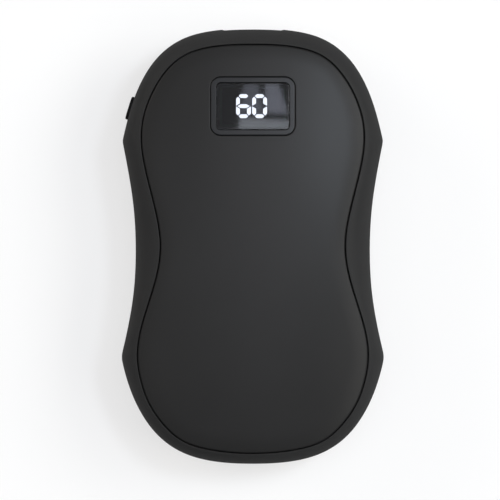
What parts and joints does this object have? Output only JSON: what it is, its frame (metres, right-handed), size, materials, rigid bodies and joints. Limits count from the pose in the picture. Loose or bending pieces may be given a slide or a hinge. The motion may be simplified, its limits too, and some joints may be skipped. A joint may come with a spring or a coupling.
{
  "type": "rechargeable hand warmer",
  "caption": "Hourglass-shaped pocket hand warmer with domed panels, a digit display, a side push button and a charging port in its end.",
  "frame": {"origin": "centre of the flat foot of the rear panel, below the middle of the body", "axes": "+X right and +Y towards the charging port, seen from the front; +Z out of the display"},
  "size_m": [0.0636, 0.1047, 0.027],
  "materials": {
    "soft_black": "soft-touch black, fine matte grain",
    "bezel_black": "satin black",
    "button_black": "satin black",
    "smoked_lens": "polished smoked acrylic",
    "digit_body": "flat black",
    "digit_lit": "lit white",
    "digit_dark": "milky, off",
    "board_green": "solder mask",
    "part_black": "moulded epoxy",
    "capacitor_tan": "ceramic",
    "socket_steel": "drawn, nickel plated",
    "socket_plastic": "moulded",
    "contact_gold": "gold plated",
    "screw_steel": "zinc plated",
    "cell_pouch": "foil laminate",
    "tape_white": "double-sided tape",
    "nickel": "nickel strip",
    "frame_grey": "moulded",
    "lead_red": "silicone insulation",
    "spreader_metal": "rolled sheet",
    "heater_film": "amber polyimide film",
    "foam_grey": "closed-cell foam",
    "sensor_bead": "epoxy bead"
  },
  "bodies": {
    "housing": {"rim_frame": "soft_black", "front_panel": "soft_black", "rear_panel": "soft_black", "display_bezel": "bezel_black", "display_lens": "smoked_lens", "digit_block": "digit_body", "lit_segments": "digit_lit", "unlit_segments": "digit_dark", "switch_body": "part_black", "usb_shell": "socket_steel", "usb_tongue": "socket_plastic", "usb_contacts": "contact_gold", "main_board": "board_green", "power_coil": "part_black", "control_chips": "part_black", "board_capacitors": "capacitor_tan", "board_screws": "screw_steel", "front_cell": "cell_pouch", "rear_cell": "cell_pouch", "cell_tape": "tape_white", "protection_board": "board_green", "cell_tabs": "nickel", "cell_frame": "frame_grey", "frame_screws": "screw_steel", "battery_leads": "lead_red", "front_spreader": "spreader_metal", "rear_spreader": "spreader_metal", "front_heater": "heater_film", "rear_heater": "heater_film", "front_foam": "foam_grey", "rear_foam": "foam_grey", "front_heater_leads": "lead_red", "rear_heater_leads": "lead_red", "front_sensor": "sensor_bead", "rear_sensor": "sensor_bead"},
    "button": {"power_button": "button_black"},
    "plunger": {"switch_plunger": "part_black"}
  },
  "joints": [
    {"name": "button_press", "type": "slide", "parent": "housing", "child": "button", "axis": [0.9553, -0.2956, 0], "range_m": [0, 0.0003], "stiffness_N_per_m": 2500},
    {"name": "plunger_press", "type": "slide", "parent": "housing", "child": "plunger", "axis": [0.9553, -0.2956, 0], "range_m": [0, 0.0003]}
  ],
  "couplings": [
    {"joint": "plunger_press", "follows": "button_press", "ratio": 1}
  ]
}
